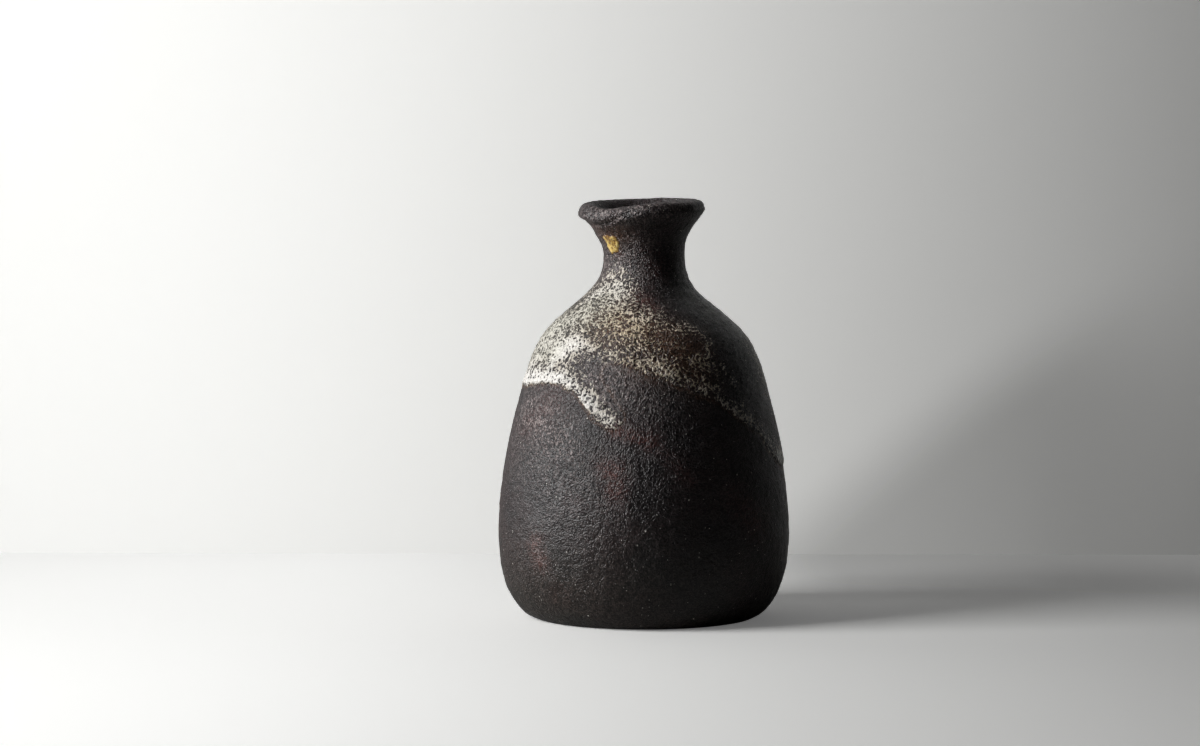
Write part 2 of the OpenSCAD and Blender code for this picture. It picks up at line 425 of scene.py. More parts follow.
def ash_depth(points, angle, height):
    """How far a point lies inside the ash's lower edge, in mm, and negative below it: the
    distance to the edge's spline, with the sign that an even-odd count of the edge's crossings
    above the point gives, and noise on top that makes the edge ragged."""
    edge = smooth_path(ASH_EDGE)
    turned_to = (angle - EDGE_FROM) % 360 + EDGE_FROM
    inside = np.ones(points.shape[:-1], bool)
    for (a0, z0), (a1, z1) in zip(edge[:-1], edge[1:]):
        spans = (turned_to >= min(a0, a1)) & (turned_to < max(a0, a1))
        if a1 != a0:
            crossing = z0 + (z1 - z0) * (turned_to - a0) / (a1 - a0)
            inside ^= spans & (crossing > height)
    away = distance_to(points, on_wall(edge))
    ragged = 0.45 * lattice_noise(points, 3.2, 41) + 0.22 * lattice_noise(points, 1.3, 42)
    return np.where(inside, away, -away) + ragged


def kiln_fields(points, angle, height):
    """What the kiln left at each point, each from 0 to 1: the ash's cover, the brown and the
    olive of its glass, the red of the clay, its smoothness, and its fly ash on the grain tops,
    which is also painted glints and sheen; and with them the depth inside the ash's edge, in mm.

    A thin veil of ash lies between the strokes, a brown line follows the ash's edge, a thin
    olive glass lies low on the left, and fly ash with painted glints lies on the lip, most at the
    left front."""
    depth = ash_depth(points, angle, height)
    patchy = lattice_noise(points, 9, 51) * 0.6 + lattice_noise(points, 3.5, 52) * 0.4
    covered = 1 - layered(points, BARE_STROKES)
    veil = 0.10 * smooth_step((depth - 1) / 6) * smooth_step((106 - height) / 8) * covered
    cover = layered(points, ASH_STROKES) * covered
    cover = np.clip(cover + veil + 0.10 * patchy * cover, 0, 1) * smooth_step((depth + 0.05) / 0.5)
    edge_line = bell((depth + 0.35) / 0.55) * smooth_step(depth + 1.2)
    low_glass = 0.3 * smooth_step((40 - height) / 36) * bell(turned(angle + 40) / 80)
    rust = layered(points, RUST_STROKES) * (0.75 + 0.5 * patchy)
    # Fly ash on the lip and painted glints on it, strongest at the left front where the window's
    # light falls.
    lip_dust_and_glints = 0.84 * smooth_step((height - 122) / 4) * (0.2 + 0.8 * bell(turned(angle + 18) / 62))
    return {
        "ash": cover,
        "brown": np.clip(layered(points, BROWN_STROKES) + 0.9 * edge_line, 0, 1),
        "olive": np.clip(layered(points, OLIVE_STROKES) + low_glass, 0, 1),
        "rust": np.clip(rust, 0, 1),
        "smooth": layered(points, SMOOTH_STROKES) * (1 - cover),
        "dust": np.maximum(layered(points, DUST_AND_GLINT_STROKES), lip_dust_and_glints),
    }, depth


# ---------------------------------------------------------------------------------------------
# The clay's surface


def lean(points):
    """Turns what lies above the throat about the throat's centre, by Rodrigues' formula, with
    the turn growing smoothly from nothing 5 mm below it to the whole tilt 5 mm above."""
    to = math.radians(MOUTH_TILT_TO)
    axis = np.array([-math.sin(to), math.cos(to), 0.0])
    turn = math.radians(MOUTH_TILT) * smooth_step((points[..., 2] - THROAT_Z + 5) / 10)
    arm = points - np.array([0, 0, THROAT_Z])
    along = (arm @ axis)[..., None] * axis
    c, s = np.cos(turn)[..., None], np.sin(turn)[..., None]
    turned_arm = arm * c + np.cross(axis, arm) * s + along * (1 - c)
    return turned_arm + np.array([0, 0, THROAT_Z])


def wander(points, angle):
    """Moves the lip as the potter's fingers left it: it droops at the left front, stands high at
    the right and the back, and lies a little to the right. Each is a bell curve of the angle,
    and grows smoothly from nothing a little above the throat."""
    share = smooth_step((points[..., 2] - THROAT_Z - 4) / 8)
    up = 0.8 + 0.5 * bell(turned(angle - 90) / 50) + 0.35 * bell(turned(angle - 180) / 50)
    up = up - 1.8 * bell(turned(angle + 42) / 30) - 0.7 * bell(turned(angle + 95) / 35)
    across = 0.5 + 0 * up
    return points + share[..., None] * np.stack([across, 0 * up, up], -1)


def relief(points, s, angle):
    """How far the clay stands off its plain section, in mm.

    Outside it is the slow wander of the hand, dents of three sizes and faint throwing lines.
    The lip swells at the left front, with a crease under it where the clay was folded over.
    Inside it is a spiral of throwing ridges, and under the foot the arcs of a cutting string."""
    outside = smooth_step((s - SECTION.foot) / 4) * smooth_step((SECTION.lip_inner - s) / 2)
    inside = smooth_step((s - SECTION.lip_inner) / 4)
    beneath = smooth_step((SECTION.foot - 2 - s) / 3)
    height = points[..., 2]
    hand = 0.24 * lattice_noise(points, 36, 11) + 0.10 * lattice_noise(points, 14, 12)
    dents = 0.060 * lattice_noise(points, 5.2, 13) + 0.045 * lattice_noise(points, 2.4, 14)
    grain = 0.045 * lattice_noise(points, 1.15, 15)
    lines = 0.030 * np.sin(height * 2 * np.pi / 2.9 + 1.5 * lattice_noise(points, 20, 16))
    lines = lines * smooth_step((height - 70) / 15) * smooth_step((112 - height) / 6)
    swell = 1.15 * bell(turned(angle + 92) / 45) - 0.7 * bell(turned(angle - 85) / 60)
    on_bead = smooth_step((s - SECTION.crease) / 2.2) * smooth_step((SECTION.lip_inner - s) / 3)
    bead = on_bead * (swell + 0.15 * bell(turned(angle + 40) / 30))
    fold_at = SECTION.crease - 0.7 + 3.6 * smooth_step((turned(angle) + 56) / 50)
    fold = 0.6 * bell(turned(angle + 38) / 29) * bell((s - fold_at) / 1.0)
    fold = fold + 0.35 * bell(turned(angle + 90) / 40) * bell((s - SECTION.crease + 2.2) / 2.4)
    crease = -fold - 0.1 * bell((s - SECTION.crease) / 0.7)
    ridges = 0.22 * np.sin(height * 2 * np.pi / 6.5 + np.radians(angle))
    ridges = ridges * smooth_step((THROAT_Z - 8 - height) / 12)
    ridges = ridges * smooth_step((height - FLOOR_Z - 0.5) / 6)
    off_centre = points - np.array([9.0, 14.0, 0.0])
    string = 0.5 + 0.5 * np.sin(np.hypot(off_centre[..., 0], off_centre[..., 1]) * 2 * np.pi / 2.3)
    return (
        outside * (hand + dents + grain + lines)
        + bead
        + crease
        + inside * (ridges + 0.4 * dents + grain)
        - beneath * (0.12 + 0.14 * string)
    )


def clay_surface(s, angle):
    """Points of the finished clay: the plain surface, moved along its normal by the relief,
    with the mouth leaned over and nothing below the ground."""
    s, angle = np.broadcast_arrays(s, angle)
    points, normals = SECTION.place(s, angle)
    points = wander(lean(points + normals * relief(points, s, angle)[..., None]), angle)
    points[..., 2] = np.maximum(points[..., 2], 0)
    return points


def surface_normals(points_at, s, angle, step=0.2):
    """Unit normals of a surface function: the cross product of its slopes, each a central
    difference, along s and round the axis, where a step is one at a radius of 30 mm."""
    turn = math.degrees(step / 30)
    along = points_at(s + step, angle) - points_at(s - step, angle)
    around = points_at(s, angle + turn) - points_at(s, angle - turn)
    normal = np.cross(around, along)
    return normal / np.maximum(np.linalg.norm(normal, axis=-1, keepdims=True), 1e-12)


# ---------------------------------------------------------------------------------------------
# Meshes


def stretch(first, last, step):
    """Lengths from first to last, evenly spaced and no more than a step apart."""
    return np.linspace(first, last, max(2, math.ceil(abs(last - first) / step) + 1))


def smooth_mesh(name, vertices, faces):
    """A smoothly shaded mesh from points in mm."""
    mesh = bpy.data.meshes.new(name)
    mesh.from_pydata((vertices * MM).tolist(), [], faces)
    mesh.shade_smooth()
    return mesh


def link_object(mesh):
    """An object in the scene that shows the mesh and bears its name."""
    piece = bpy.data.objects.new(mesh.name, mesh)
    bpy.context.scene.collection.objects.link(piece)
    return piece


def grid_mesh(name, rows, poles):
    """A closed mesh from rows of points round an axis, shape (rows, points, 3), in mm. Each cell
    between two rows is a quad. With poles, the first and last row are each one point with a fan
    of triangles; otherwise the last row joins the first, as on a tyre."""
    count, around = rows.shape[:2]
    index = np.arange(count * around).reshape(count, around)
    lower, upper = index, np.roll(index, -1, axis=0)
    if poles:
        index = np.maximum(index - around + 1, 0)
        lower, upper = index[1:-2], index[2:-1]
    ahead = np.roll(lower, -1, axis=1), np.roll(upper, -1, axis=1)
    faces = np.stack([lower, ahead[0], ahead[1], upper], -1).reshape(-1, 4).tolist()
    if poles:
        ends = np.full(around, index[0, 0]), np.full(around, index[-1, 0])
        faces += np.stack([ends[0], np.roll(index[1], -1), index[1]], -1).tolist()
        faces += np.stack([ends[1], index[-2], np.roll(index[-2], -1)], -1).tolist()
    return smooth_mesh(name, per_vertex(rows, poles), faces)


def per_vertex(rows, poles):
    """Rows of values as one list, in the vertex order of grid_mesh: with poles, the first and
    the last row each count once."""
    flat = rows.reshape(-1, *rows.shape[2:])
    if not poles:
        return flat
    around = rows.shape[1]
    return np.concatenate([flat[:1], flat[around:-around], flat[-around:][:1]])


def set_fields(mesh, fields):
    """Stores each field as a float attribute on the mesh's vertices."""
    for name, values in fields.items():
        layer = mesh.attributes.new(name, "FLOAT", "POINT")
        layer.data.foreach_set("value", np.ascontiguousarray(values, np.float32))


def seam_rows(start, end, s, count=3):
    """Rows strictly between two rows, on the straight lines that join them, with zeros for their
    normals, which leaves those to the faces, and the length s for each row."""
    t = np.linspace(0, 1, count + 2)[1:-1, None, None]
    rows = start[None] * (1 - t) + end[None] * t
    return rows, np.zeros_like(rows), np.full(count, s)


def clay_member(name, low, high, step, inner_step):
    """A member of the clay between two seams, each given as (s outside, s inside). Without a low
    seam it closes the bottom, and without a high one it goes on over the lip. Its rows run up
    the outside, across the high seam, down the inside and back across the low seam. Its inside
    and its underside have no ash, brown glass, flush, or fly ash and painted glints; the olive
    glass stays on them."""
    angles = np.arange(ROUND_STEPS) * 360 / ROUND_STEPS
    outer_to = high[0] if high else SECTION.lip_top
    inner_from = high[1] if high else SECTION.lip_top
    outer_s = stretch(low[0] if low else 0, outer_to, step)
    inner_s = stretch(inner_from, low[1] if low else SECTION.end, inner_step)
    if not high:
        inner_s = inner_s[1:]
    runs = []
    for s in (outer_s, inner_s):
        s_grid, angle_grid = np.meshgrid(s, angles, indexing="ij")
        normals = surface_normals(clay_surface, s_grid, angle_grid)
        runs.append((clay_surface(s_grid, angle_grid), normals, s))
    outer, inner = runs[0][0], runs[1][0]
    if high:
        runs.insert(1, seam_rows(outer[-1], inner[0], high[0]))
    if low:
        runs.append(seam_rows(inner[-1], outer[0], low[0]))
    rows, row_normals, row_s = (np.concatenate(parts) for parts in zip(*runs))
    poles = low is None
    mesh = grid_mesh(name, rows, poles)
    s_grid, angle_grid = np.meshgrid(row_s, angles, indexing="ij")
    plain = SECTION.place(s_grid, angle_grid)[0]
    fields, _ = kiln_fields(plain, angle_grid, plain[..., 2])
    hidden = (s_grid > SECTION.lip_inner) | (s_grid < SECTION.foot)
    for key in ("ash", "brown", "rust", "dust"):
        fields[key] = np.where(hidden, 0, fields[key])
    set_fields(mesh, {key: per_vertex(values, poles) for key, values in fields.items()})
    mesh.normals_split_custom_set_from_vertices(per_vertex(row_normals, poles).tolist())
    return link_object(mesh)


def ash_crust(name, thickness):
    """The crust: a closed skin round the shoulder, from a little below the lowest part of the
    ash's edge near each angle up to one height. Its outer face stands off the clay by a
    thickness that grows with the ash's cover, with a rolled edge just inside the lower edge, and
    it dives under the clay where there is no ash. Its inner face is buried in the wall, and has
    one row for every few of the outer face."""
    around, up, top = 520, 150, 112.0
    near_angle, overlap = 4, 1.6
    buried, every = 0.7, 5
    angles = np.arange(around) * 360 / around
    edge = smooth_path(ASH_EDGE)
    near = np.abs(turned(angles[:, None] - edge[None, :, 0])) < near_angle
    lowest = np.where(near, edge[None, :, 1], np.inf).min(1) - overlap
    low_s, top_s = SECTION.outside_at(lowest), SECTION.outside_at(top)
    share = np.linspace(0, 1, up)[:, None]
    s_grid = low_s[None] * (1 - share) + top_s * share
    angle_grid = np.broadcast_to(angles, s_grid.shape)
    plain, normals = SECTION.place(s_grid, angle_grid)
    fields, depth = kiln_fields(plain, angle_grid, plain[..., 2])
    cover = fields["ash"] * smooth_step((top - plain[..., 2]) / 4)
    stands = smooth_step((cover - 0.06) / 0.7) * smooth_step((depth + 0.2) / 1.1)
    roll = bell((depth - 1.2) / 0.9) * smooth_step((cover - 0.25) / 0.4)
    lumps = 0.05 * lattice_noise(plain, 1.7, 61) + 0.03 * lattice_noise(plain, 0.9, 62)
    stand_off = thickness * (0.62 * stands + 0.42 * roll) + lumps * stands
    stand_off -= 0.14 * (1 - smooth_step((cover - 0.05) / 0.16) * smooth_step((depth + 0.3) / 0.5))
    clay = clay_surface(s_grid, angle_grid)
    outer, inner = clay + normals * stand_off[..., None], clay - normals * buried
    back = slice(None, None, -every)
    mesh = grid_mesh(name, np.concatenate([outer, inner[back]]), poles=False)
    both = {key: np.concatenate([values, values[back]]) for key, values in fields.items()}
    set_fields(mesh, {key: per_vertex(values, False) for key, values in both.items()})
    return link_object(mesh)


def amber_drop(name, place, half_width, half_height, thickness):
    """A drop of glaze on the wall: a disc of rings about its middle, domed as half an ellipsoid,
    with a squarish rim that wanders as sines of the direction and is drawn under the clay. Its
    back is buried in the wall."""
    around, rings, buried = 72, 20, 0.35
    middle_s = SECTION.outside_at(place[1])
    radius = np.interp(middle_s, SECTION.s, SECTION.r)
    turn = np.arange(around) * 2 * np.pi / around
    rim = (np.cos(turn) ** 4 + np.sin(turn) ** 4) ** -0.2
    rim = rim * (0.93 + 0.06 * np.sin(3 * turn + 0.6) + 0.05 * np.sin(7 * turn + 2.1))
    rim = rim + 0.05 * np.sin(13 * turn)
    share = np.sin(np.linspace(0, np.pi / 2, rings))[:, None]
    across = share * rim * half_width * np.cos(turn)
    up = share * rim * half_height * np.sin(turn)
    s_grid = middle_s + up
    angle_grid = place[0] + np.degrees(across / radius)
    plain, normals = SECTION.place(s_grid, angle_grid)
    clay = clay_surface(s_grid, angle_grid)
    dome = thickness * np.sqrt(1 - np.minimum(share, 1) ** 2)
    ripples = 0.07 * lattice_noise(plain, 0.9, 71) + 0.05 * lattice_noise(plain, 0.5, 72)
    top = clay + normals * (dome * (1 + 2 * ripples) + 0.03 - 0.2 * share**8)[..., None]
    under = (clay - normals * buried)[::-1]
    mesh = grid_mesh(name, np.concatenate([top, under]), poles=True)
    pool = np.broadcast_to(dome / thickness, s_grid.shape)
    set_fields(mesh, {"pool": per_vertex(np.concatenate([pool, pool[::-1]]), True)})
    return link_object(mesh)


# The icosahedron's corners, from the golden ratio, and its faces.
ICO_T = (1 + 5**0.5) / 2
ICO_POINTS = (
    (-1, ICO_T, 0), (1, ICO_T, 0), (-1, -ICO_T, 0), (1, -ICO_T, 0),
    (0, -1, ICO_T), (0, 1, ICO_T), (0, -1, -ICO_T), (0, 1, -ICO_T),
    (ICO_T, 0, -1), (ICO_T, 0, 1), (-ICO_T, 0, -1), (-ICO_T, 0, 1),
)
ICO_FACES = (
    (0, 11, 5), (0, 5, 1), (0, 1, 7), (0, 7, 10), (0, 10, 11), (1, 5, 9), (5, 11, 4),
    (11, 10, 2), (10, 7, 6), (7, 1, 8), (3, 9, 4), (3, 4, 2), (3, 2, 6), (3, 6, 8),
    (3, 8, 9), (4, 9, 5), (2, 4, 11), (6, 2, 10), (8, 6, 7), (9, 8, 1),
)


def feldspar_grains(name, count, smallest, largest):
    """Grains that stand out of the clay: each an icosahedron with its corners moved in or out at
    random, sunk by nearly half its size, at a random place on the outside. Sizes are the
    distance from middle to corner, in mm, and the small ones are the most frequent."""
    rng = np.random.default_rng(7)
    s = rng.uniform(SECTION.foot + 3, SECTION.lip_top, count)
    angle = rng.uniform(0, 360, count)
    centres = clay_surface(s, angle)
    size = smallest + (largest - smallest) * rng.random(count) ** 3
    corners = np.array(ICO_POINTS) / math.hypot(1, ICO_T)
    each = len(corners)
    corners = corners[None] * rng.uniform(0.75, 1.2, (count, each, 1)) * size[:, None, None]
    normals = surface_normals(clay_surface, s, angle)
    centres = centres - normals * (0.45 * size)[:, None]
    vertices = (centres[:, None] + corners).reshape(-1, 3)
    faces = (np.array(ICO_FACES)[None] + each * np.arange(count)[:, None, None]).reshape(-1, 3)
    return link_object(smooth_mesh(name, vertices, faces.tolist()))


# ---------------------------------------------------------------------------------------------
# Shader nodes


def connect(tree, sockets, values):
    """Links or sets sockets, given by name or number, to other sockets or plain values."""
    for key, value in values.items():
        if isinstance(value, bpy.types.NodeSocket):
            tree.links.new(value, sockets[key])
        else:
            sockets[key].default_value = value


def add(tree, kind, inputs=None, **settings):
    """Adds a node with these settings and inputs."""
    node = tree.nodes.new(kind)
    for key, value in settings.items():
        setattr(node, key, value)
    connect(tree, node.inputs, inputs or {})
    return node


def maths(tree, operation, *values):
    """The result of one operation on the values."""
    inputs = dict(enumerate(values))
    return add(tree, "ShaderNodeMath", inputs, operation=operation).outputs[0]


def product(tree, first, *others):
    """All the values multiplied together."""
    for value in others:
        first = maths(tree, "MULTIPLY", first, value)
    return first


def scaled(tree, colour, factor):
    """A colour times a value."""
    inputs = {0: colour, "Scale": factor}
    return add(tree, "ShaderNodeVectorMath", inputs, operation="SCALE").outputs[0]


def mix(tree, factor, a, b):
    """A colour mix: from a to b, each a socket or a colour, as the factor goes from 0 to 1."""
    a, b = (end if isinstance(end, bpy.types.NodeSocket) else (*end, 1.0) for end in (a, b))
    return add(tree, "ShaderNodeMix", {0: factor, 6: a, 7: b}, data_type="RGBA").outputs[2]


def spread(tree, value, low, high, to_low=0.0, to_high=1.0, smooth=True):
    """Maps a value from the range low..high to another range, with a smooth step between."""
    inputs = {0: value, 1: low, 2: high, 3: to_low, 4: to_high}
    kind = "SMOOTHSTEP" if smooth else "LINEAR"
    return add(tree, "ShaderNodeMapRange", inputs, interpolation_type=kind).outputs[0]


def noise(tree, vector, size_mm, detail, rough, distortion, seed):
    """Noise whose features are about that many millimetres across."""
    inputs = {
        "Vector": vector, "W": seed, "Scale": 1 / (size_mm * MM), "Detail": detail,
        "Roughness": rough, "Distortion": distortion,
    }
    return add(tree, "ShaderNodeTexNoise", inputs, noise_dimensions="4D").outputs[0]


def cells(tree, vector, size_mm, number):
    """Random points about that far apart: the distance to the nearest as a share of that size,
    and one of the three random values that belong to it."""
    near = add(tree, "ShaderNodeTexVoronoi", {"Vector": vector, "Scale": 1 / (size_mm * MM)})
    own = add(tree, "ShaderNodeSeparateColor", {0: near.outputs["Color"]})
    return near.outputs["Distance"], own.outputs[number]


def bump(tree, height, strength, depth):
    """The normal that a height gives, where a height of 1 stands for that depth in metres."""
    inputs = {"Height": height, "Strength": strength, "Distance": depth}
    return add(tree, "ShaderNodeBump", inputs).outputs[0]


def object_place(tree):
    """The place on the object, in metres."""
    return add(tree, "ShaderNodeTexCoord").outputs["Object"]


def attribute(tree, name):
    """A field that is stored on the mesh."""
    return add(tree, "ShaderNodeAttribute", attribute_name=name).outputs["Fac"]


def new_material(name):
    """A new material, its tree, and the inputs of its Principled shader."""
    material = bpy.data.materials.new(name)
    material.use_nodes = True
    return material, material.node_tree, material.node_tree.nodes["Principled BSDF"].inputs


def new_group(name, inputs, outputs):
    """A shader node group with those sockets, as names by type, and its two end nodes."""
    tree = bpy.data.node_groups.new(name, "ShaderNodeTree")
    for sockets, in_out in ((inputs, "INPUT"), (outputs, "OUTPUT")):
        for socket, kind in sockets.items():
            tree.interface.new_socket(socket, in_out=in_out, socket_type="NodeSocket" + kind)
    return tree, tree.nodes.new("NodeGroupInput").outputs, tree.nodes.new("NodeGroupOutput").inputs


def use(tree, group, inputs):
    """Places a node group in a tree."""
    return add(tree, "ShaderNodeGroup", inputs, node_tree=group).outputs


def leather_group():
    """The leathery skin of coarse wood-fired clay: rounded grains pressed together, finer grit
    between them, and scattered pin holes. The specks are where fly ash settles and where painted
    glints lie."""
    tree, given, out = new_group(
        "Clay skin",
        {"Vector": "Vector", "Grain": "Float"},
        {"Height": "Float", "Pits": "Float", "Specks": "Float"},
    )
    vector = given["Vector"]
    swell = noise(tree, vector, 0.6, detail=1.2, rough=0.55, distortion=0.2, seed=1)
    grit = noise(tree, vector, 0.34, detail=1.5, rough=0.6, distortion=0, seed=2)
    away, tall = cells(tree, vector, 0.56, 2)
    domes = spread(tree, away, 0.0, 0.62, 1.0, 0.0)
    domes = product(tree, domes, maths(tree, "MULTIPLY_ADD", tall, 0.7, 0.3))
    body = product(tree, spread(tree, swell, 0.34, 0.66), 0.28)
    body = maths(tree, "MULTIPLY_ADD", domes, 0.5, body)
    body = maths(tree, "MULTIPLY_ADD", grit, 0.34, body)
    away, chance = cells(tree, vector, 3.0, 0)
    pits = spread(tree, away, 0.05, 0.14, 1.0, 0.0)
    pits = product(tree, pits, maths(tree, "GREATER_THAN", chance, 0.55))
    body = maths(tree, "MULTIPLY_ADD", pits, -0.8, body)
    specks = noise(tree, vector, 0.64, detail=1.2, rough=0.6, distortion=0.2, seed=11)
    connect(tree, out, {
        "Height": product(tree, body, given["Grain"]),
        "Pits": pits,
        "Specks": spread(tree, specks, 0.50, 0.60),
    })
    return tree


def grit_group():
    """White feldspar and quartz grit: small bright dots, the larger ones far apart."""
    tree, given, out = new_group("Feldspar grit", {"Vector": "Vector"}, {"Mask": "Float"})
    masks = []
    for size, dot, share in ((3.0, 0.11, 0.5), (1.5, 0.14, 0.7)):
        away, chance = cells(tree, given["Vector"], size, 1)
        near = spread(tree, away, dot * 0.6, dot, 1.0, 0.0)
        masks.append(product(tree, near, spread(tree, chance, share, 1.0)))
    connect(tree, out, {"Mask": maths(tree, "MAXIMUM", *masks)})
    return tree


def ash_group():
    """Ash that melted into short worms and drops, which join as they thicken until only small
    dark pores are left. The worms are the contour lines of smooth noise at its mean: a point is
    covered where the noise lies within a band of the mean, and the band widens with the cover
    and wavers with a second noise. The mask is sharp, and the body rises softly to a height."""
    tree, given, out = new_group(
        "Ash speckle",
        {"Vector": "Vector", "Cover": "Float"},
        {"Mask": "Float", "Body": "Float"},
    )
    vector, cover = given["Vector"], given["Cover"]
    field = noise(tree, vector, 1.32, detail=0.6, rough=0.5, distortion=0.5, seed=5)
    off = maths(tree, "ABSOLUTE", maths(tree, "SUBTRACT", field, 0.5))
    waver = noise(tree, vector, 0.7, detail=1, rough=0.5, distortion=0, seed=6)
    waver = maths(tree, "SUBTRACT", waver, 0.5)
    waver = product(tree, waver, spread(tree, cover, 0.0, 0.3, 0.0, 0.5, smooth=False))
    thick = product(tree, maths(tree, "POWER", cover, 4.0), 0.085)
    band = maths(tree, "MULTIPLY_ADD", cover, 0.163, thick)
    band = maths(tree, "ADD", maths(tree, "SUBTRACT", band, 0.022), waver)
    away, chance = cells(tree, vector, 1.9, 0)
    pores = spread(tree, away, 0.14, 0.26, 1.0, 0.0)
    pores = product(tree, pores, maths(tree, "GREATER_THAN", chance, 0.35))
    pores = product(tree, pores, spread(tree, cover, 0.45, 0.8, 0.0, 0.3))
    rise = maths(tree, "SUBTRACT", maths(tree, "SUBTRACT", band, off), pores)
    connect(tree, out, {
        "Mask": spread(tree, rise, -0.014, 0.018),
        "Body": spread(tree, rise, -0.05, 0.10),
    })
    return tree


def fired_clay_group(look):
    """The clay's own colour: iron black to purple-brown in slow clouds with a fine grey mottle,
    flushed red where the flame touched it, olive or brown where an ash glass lies on it, grey
    where it is fused smooth, with white grit."""
    tree, given, out = new_group(
        "Fired clay",
        {"Vector": "Vector", "Rust": "Float", "Olive": "Float", "Brown": "Float",
         "Smooth": "Float", "Grit": "Float"},
        {"Color": "Color", "Mottle": "Float"},
    )
    vector = given["Vector"]
    clouds = noise(tree, vector, 17, detail=3, rough=0.6, distortion=0.3, seed=7)
    mottle = noise(tree, vector, 1.7, detail=3, rough=0.65, distortion=0.2, seed=8)
    mottle = spread(tree, mottle, 0.3, 0.7)
    flecks = noise(tree, vector, 1.2, detail=3, rough=0.7, distortion=0.4, seed=9)
    flecks = maths(tree, "MULTIPLY_ADD", spread(tree, flecks, 0.36, 0.62), 0.65, 0.35)
    colour = mix(tree, spread(tree, clouds, 0.36, 0.66), look.iron_black, look.iron_brown)
    for factor, tint in (
        (product(tree, mottle, 0.45), look.iron_grey),
        (product(tree, given["Rust"], flecks), look.rust),
        (product(tree, given["Olive"], 0.75), look.olive),
        (product(tree, given["Brown"], spread(tree, mottle, 0.0, 1.0, 0.6, 0.95)), look.brown),
        (product(tree, given["Smooth"], 0.6), look.blue_grey),
        (given["Grit"], look.feldspar),
    ):
        colour = mix(tree, factor, colour, tint)
    connect(tree, out, {"Color": colour, "Mottle": mottle})
    return tree


def shared_groups(look):
    """The node groups that the clay and the crust share, built once."""
    makers = {
        "Clay skin": leather_group,
        "Feldspar grit": grit_group,
        "Ash speckle": ash_group,
        "Fired clay": lambda: fired_clay_group(look),
    }
    return {name: bpy.data.node_groups.get(name) or make() for name, make in makers.items()}


def stoneware(name, look, ash_height):
    """The material of fired clay under ash. The mesh's own fields say where the ash, the glass
    and the flush lie; ash_height is how far the ash's drops stand up in the bump. The clay's colour
    is painted lighter on the tops of its grains and darker between them, as painted highlight and
    shade; fly ash and painted glints lie on those tops, and its pin holes are painted dark as shade."""
    material, tree, shader = new_material(name)
    groups = shared_groups(look)
    vector = object_place(tree)
    fields = ("ash", "brown", "olive", "rust", "smooth", "dust")
    ash_cover, brown, olive, rust, smooth, dust = (attribute(tree, field) for field in fields)
    skin = use(tree, groups["Clay skin"], {"Vector": vector, "Grain": 1.0})
    grit = use(tree, groups["Feldspar grit"], {"Vector": vector})["Mask"]
    ash = use(tree, groups["Ash speckle"], {"Vector": vector, "Cover": ash_cover})
    clay = use(
        tree, groups["Fired clay"],
        {"Vector": vector, "Rust": rust, "Olive": olive, "Brown": brown, "Smooth": smooth,
         "Grit": grit},
    )
    tops = spread(tree, skin["Height"], 0.25, 0.5, 0.45, 1.0)
    # Painted highlight and shade: the clay's colour is lighter on the grain tops and darker between
    # them.
    colour = scaled(tree, clay["Color"], spread(tree, skin["Height"], 0.2, 0.62, 0.4, 1.75))
    # Fly ash and painted glints on the grain tops.
    colour = mix(tree, product(tree, skin["Specks"], tops, dust), colour, look.dust)
    white = mix(tree, spread(tree, ash_cover, 0.45, 0.95), look.ash_thin, look.ash_white)
    white = mix(tree, product(tree, brown, 0.8), white, look.ash_straw)
    white = mix(tree, product(tree, olive, 0.7), white, look.ash_green)
    colour = mix(tree, ash["Mask"], colour, white)
    # Painted shade: the pin holes are coloured near black.
    colour = mix(tree, product(tree, skin["Pits"], 0.8), colour, look.pin_hole_shade)
    least, most = look.clay_roughness - 0.07, look.clay_roughness + 0.07
    rough = spread(tree, clay["Mottle"], 0.0, 1.0, least, most)
    rough = maths(tree, "MULTIPLY_ADD", smooth, -0.12, rough)
    rough = maths(tree, "MULTIPLY_ADD", ash["Mask"], -0.12, rough)
    up = add(tree, "ShaderNodeSeparateXYZ", {0: vector}).outputs[2]
    rugged = spread(tree, up, 0.02, 0.06, 0.6, 1.2)
    rugged = maths(tree, "MULTIPLY_ADD", smooth, -0.75, rugged)
    height = product(tree, skin["Height"], rugged)
    height = maths(tree, "MULTIPLY_ADD", ash["Body"], ash_height, height)
    height = maths(tree, "MULTIPLY_ADD", grit, 0.5, height)
    normal = bump(tree, height, 0.9, look.grain_depth)
    connect(tree, shader, {"Base Color": colour, "Roughness": rough, "Normal": normal})
    return material


def amber_glass(look):
    """The drop of amber glaze: gold and dark brown swirled together under a clear gloss, dark
    where the pool thins out to its rim, with pale swirls that are partly painted highlights."""
    material, tree, shader = new_material("Amber glaze")
    vector = object_place(tree)
    swirl = noise(tree, vector, 1.9, detail=2, rough=0.6, distortion=0.8, seed=3)
    swirl = maths(tree, "MULTIPLY_ADD", spread(tree, swirl, 0.40, 0.52), 0.85, 0.15)
    fine = noise(tree, vector, 0.8, detail=2, rough=0.6, distortion=0.5, seed=4)
    fine = spread(tree, fine, 0.42, 0.60)
    deep = product(tree, spread(tree, attribute(tree, "pool"), 0.25, 0.8), swirl)
    colour = mix(tree, deep, look.amber_dark, look.amber_gold)
    # Pale swirls in the thick pool, partly painted highlights.
    colour = mix(tree, product(tree, fine, deep, 0.85), colour, look.amber_pale_and_highlights)
    connect(tree, shader, {
        "Base Color": colour,
        "Roughness": 0.32,
        "Coat Weight": 0.5,
        "Coat Roughness": 0.12,
        "Normal": bump(tree, fine, 0.5, 0.12 * MM),
    })
    return material


